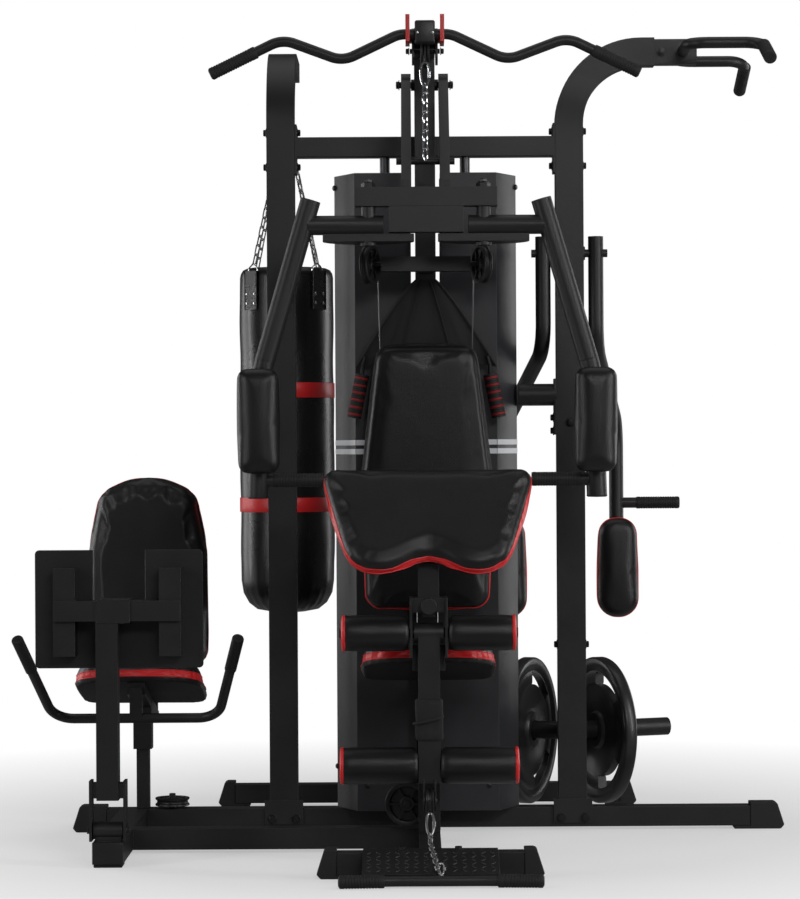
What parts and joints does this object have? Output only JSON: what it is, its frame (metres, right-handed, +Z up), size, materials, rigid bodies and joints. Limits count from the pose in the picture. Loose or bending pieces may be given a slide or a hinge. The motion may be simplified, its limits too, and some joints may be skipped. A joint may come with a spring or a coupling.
{
  "type": "multi station home gym",
  "caption": "Weight stack tower with press and butterfly arms, leg developer, curl pad, lat and row bars, leg press, pull-up handle, hanging heavy bag and swinging dip arms.",
  "frame": {"origin": "on the floor under the middle of the main base tube", "axes": "+X to the right seen from the seat side, +Y to the rear, +Z up"},
  "size_m": [1.8727, 1.585, 1.98],
  "materials": {
    "frame_black": "satin powder coat",
    "cover_grey": "satin powder coat",
    "leather_black": "grained, half gloss, with red piping",
    "foam_black": "matte closed cell foam",
    "rubber_black": "matte",
    "nylon_black": "matte",
    "cable_black": "nylon coated wire",
    "mesh_black": "open mesh",
    "chrome_steel": "polished",
    "red_coated": "dipped coating",
    "stack_iron": "matte",
    "disc_black": "gloss coated"
  },
  "bodies": {
    "frame": {"main_base_tube": "frame_black", "rear_base_tube": "frame_black", "centre_rail": "frame_black", "front_base_tube": "frame_black", "foot_caps": "rubber_black", "front_upright": "frame_black", "top_boom": "frame_black", "rear_upright": "frame_black", "left_upright": "frame_black", "right_upright": "frame_black", "upper_cross_beam": "frame_black", "bar_hooks": "red_coated", "seat_frame": "frame_black", "seat_pad": "leather_black", "back_pad": "leather_black", "shroud_left": "cover_grey", "shroud_right": "cover_grey", "rear_shroud": "cover_grey", "guide_rods": "chrome_steel", "resting_plates": "stack_iron", "tread_plate": "frame_black", "side_pulley_bracket": "frame_black", "pull_up_handle": "frame_black", "plate_holder": "frame_black", "leg_press_base": "frame_black", "frame_bolts": "chrome_steel", "cables": "cable_black", "side_brace": "frame_black", "ab_harness": "mesh_black"},
    "weight_carriage": {"lifted_plates": "stack_iron"},
    "selector_pin": {"selector_pin": "red_coated"},
    "press_frame": {"press_frame": "frame_black"},
    "fly_left": {"fly_arm_left": "frame_black", "fly_pad_left": "leather_black"},
    "fly_right": {"fly_arm_right": "frame_black", "fly_pad_right": "leather_black"},
    "leg_lever": {"leg_lever": "frame_black"},
    "knee_rollers": {"knee_rollers": "foam_black"},
    "ankle_rollers": {"ankle_rollers": "foam_black"},
    "lat_bar": {"lat_bar": "chrome_steel"},
    "row_bar": {"row_bar": "chrome_steel"},
    "leg_press_lever": {"leg_press_lever": "frame_black", "foot_plate": "frame_black"},
    "leg_press_seat": {"leg_press_seat_frame": "frame_black", "leg_press_pads": "leather_black"},
    "bag_hook": {"bag_hook": "chrome_steel"},
    "punching_bag": {"punching_bag": "leather_black", "bag_chains": "chrome_steel"},
    "curl_pad": {"preacher_pad": "leather_black", "preacher_post": "frame_black"},
    "dip_arms": {"dip_arms": "frame_black", "dip_pads": "leather_black"},
    "weight_plate_left": {"weight_plate_left": "disc_black"},
    "weight_plate_right": {"weight_plate_right": "disc_black"},
    "top_pulley": {"top_pulley": "nylon_black"},
    "low_pulley": {"low_pulley": "nylon_black"},
    "side_pulley_left": {"side_pulley_left": "nylon_black"},
    "side_pulley_right": {"side_pulley_right": "nylon_black"},
    "leg_press_pulley": {"leg_press_pulley": "nylon_black"},
    "turning_pulley": {"turning_pulley": "nylon_black"}
  },
  "joints": [
    {"name": "stack_lift", "type": "slide", "parent": "frame", "child": "weight_carriage", "axis": [0, 0, 1], "range_m": [0, 0.6], "deforming": ["cables"]},
    {"name": "selector_pin_pull", "type": "slide", "parent": "weight_carriage", "child": "selector_pin", "axis": [0, 1, 0], "range_m": [0, 0.085]},
    {"name": "press_swing", "type": "hinge", "parent": "frame", "child": "press_frame", "pos_m": [0, -0.09, 1.85], "axis": [-1, 0, 0], "range_deg": [0, 35]},
    {"name": "fly_left_swing", "type": "hinge", "parent": "press_frame", "child": "fly_left", "pos_m": [-0.136, -0.42, 1.48], "axis": [0, 0, 1], "range_deg": [0, 36]},
    {"name": "fly_right_swing", "type": "hinge", "parent": "press_frame", "child": "fly_right", "pos_m": [0.136, -0.42, 1.48], "axis": [0, 0, -1], "range_deg": [0, 36]},
    {"name": "leg_extension", "type": "hinge", "parent": "frame", "child": "leg_lever", "pos_m": [0, -0.62, 0.529], "axis": [-1, 0, 0], "range_deg": [0, 90]},
    {"name": "knee_roller_spin", "type": "hinge", "parent": "frame", "child": "knee_rollers", "pos_m": [0, -0.62, 0.529], "axis": [1, 0, 0], "continuous": true},
    {"name": "ankle_roller_spin", "type": "hinge", "parent": "leg_lever", "child": "ankle_rollers", "pos_m": [0, -0.62, 0.225], "axis": [1, 0, 0], "continuous": true},
    {"name": "low_pulley_spin", "type": "hinge", "parent": "leg_lever", "child": "low_pulley", "pos_m": [0, -0.635, 0.145], "axis": [1, 0, 0], "continuous": true},
    {"name": "lat_bar_lift", "type": "slide", "parent": "frame", "child": "lat_bar", "axis": [0, 0, 1], "range_m": [0, 0.2]},
    {"name": "row_bar_lift", "type": "slide", "parent": "frame", "child": "row_bar", "axis": [0, 0, 1], "range_m": [0, 0.3]},
    {"name": "leg_press_push", "type": "hinge", "parent": "frame", "child": "leg_press_lever", "pos_m": [-0.735, -0.64, 0.083], "axis": [1, 0, 0], "range_deg": [0, 35]},
    {"name": "leg_press_seat_height", "type": "slide", "parent": "frame", "child": "leg_press_seat", "axis": [0, 0, 1], "range_m": [0, 0.06]},
    {"name": "bag_swing", "type": "hinge", "parent": "frame", "child": "bag_hook", "pos_m": [-0.36, 0.3, 1.895], "axis": [1, 0, 0], "range_deg": [-5, 30]},
    {"name": "bag_swivel", "type": "hinge", "parent": "bag_hook", "child": "punching_bag", "pos_m": [-0.36, 0.3, 1.84], "axis": [0, 0, 1], "continuous": true},
    {"name": "curl_pad_lift", "type": "slide", "parent": "frame", "child": "curl_pad", "axis": [0, 0, 1], "range_m": [0, 0.12]},
    {"name": "dip_swing", "type": "hinge", "parent": "frame", "child": "dip_arms", "pos_m": [0.36, 0, 1.438], "axis": [1, 0, 0], "range_deg": [0, 60]},
    {"name": "plate_left_slide", "type": "slide", "parent": "frame", "child": "weight_plate_left", "axis": [-0.9272, 0.3746, 0], "range_m": [0, 0.17]},
    {"name": "plate_right_slide", "type": "slide", "parent": "frame", "child": "weight_plate_right", "axis": [0.9272, 0.3746, 0], "range_m": [0, 0.25]},
    {"name": "top_pulley_spin", "type": "hinge", "parent": "frame", "child": "top_pulley", "pos_m": [0, -0.32, 1.903], "axis": [1, 0, 0], "continuous": true},
    {"name": "side_pulley_left_spin", "type": "hinge", "parent": "frame", "child": "side_pulley_left", "pos_m": [-0.134, -0.25, 1.398], "axis": [-0.9272, 0.3746, 0], "continuous": true},
    {"name": "side_pulley_right_spin", "type": "hinge", "parent": "frame", "child": "side_pulley_right", "pos_m": [0.134, -0.25, 1.398], "axis": [0.9272, 0.3746, 0], "continuous": true},
    {"name": "leg_press_pulley_spin", "type": "hinge", "parent": "frame", "child": "leg_press_pulley", "pos_m": [-0.64, 0, 0.074], "axis": [0, 0, 1], "continuous": true},
    {"name": "turning_pulley_spin", "type": "hinge", "parent": "frame", "child": "turning_pulley", "pos_m": [-0.052, -0.45, 0.118], "axis": [0, 1, 0], "continuous": true}
  ]
}
